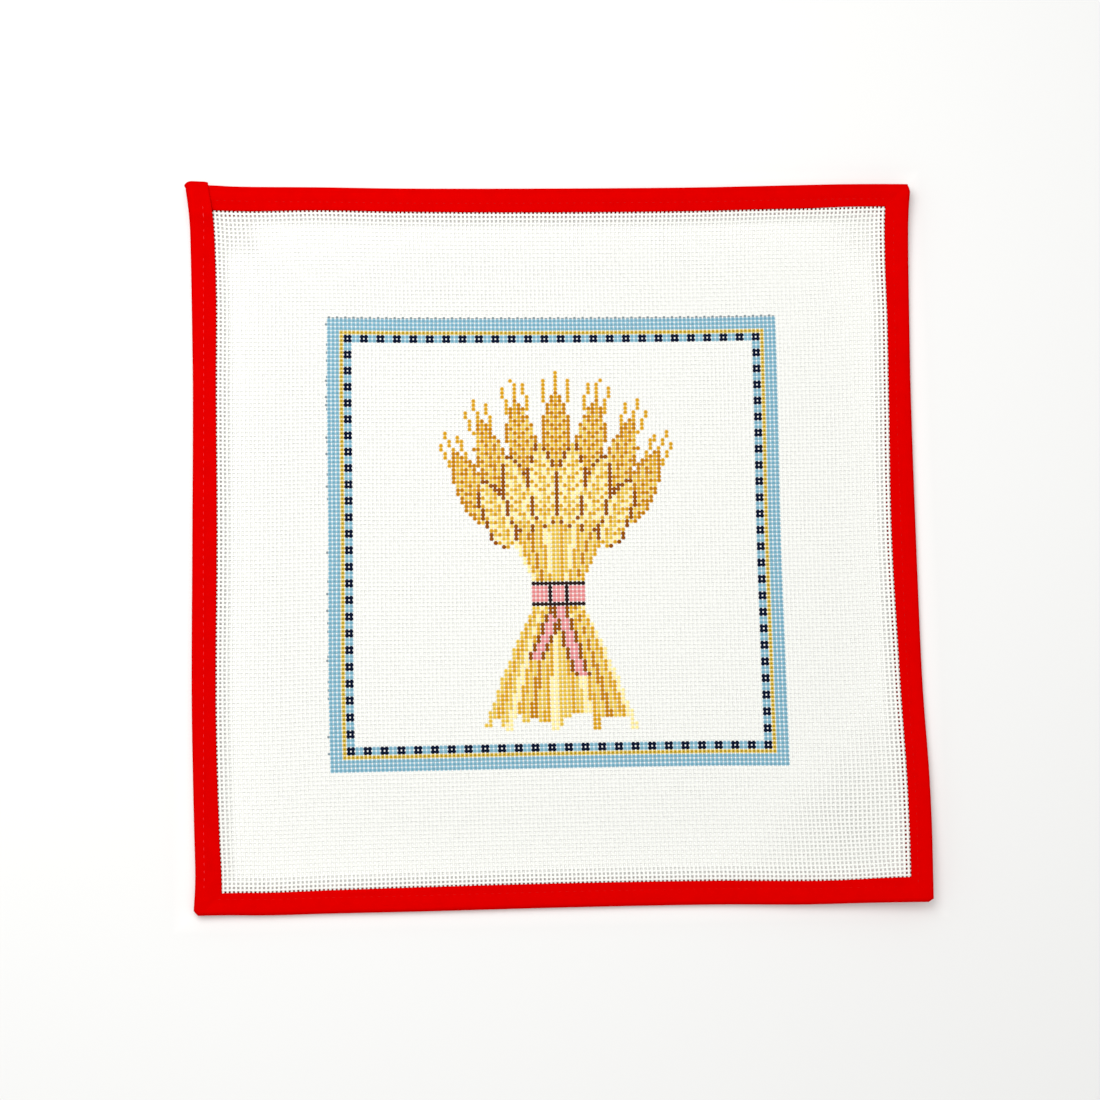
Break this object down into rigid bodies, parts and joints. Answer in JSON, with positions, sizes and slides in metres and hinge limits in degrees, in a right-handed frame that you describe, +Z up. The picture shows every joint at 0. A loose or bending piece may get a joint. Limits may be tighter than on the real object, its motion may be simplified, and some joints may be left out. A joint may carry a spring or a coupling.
{
  "type": "needlepoint canvas panel",
  "caption": "Square of open needlepoint canvas with a painted check border and centre motif, its edges closed in a folded red tape, lying flat with slightly curled corners.",
  "frame": {"origin": "on the surface that the panel lies on, under the middle of its bounding box", "axes": "+X to the right of the painted design, +Y to its top, +Z up out of the painted side"},
  "size_m": [0.2503, 0.2484, 0.0073],
  "materials": {
    "canvas": "stiffened open plain weave, painted",
    "binding": "smooth woven tape, pressed and topstitched"
  },
  "bodies": {
    "root": {"canvas": "canvas", "binding": "binding"}
  },
  "joints": []
}
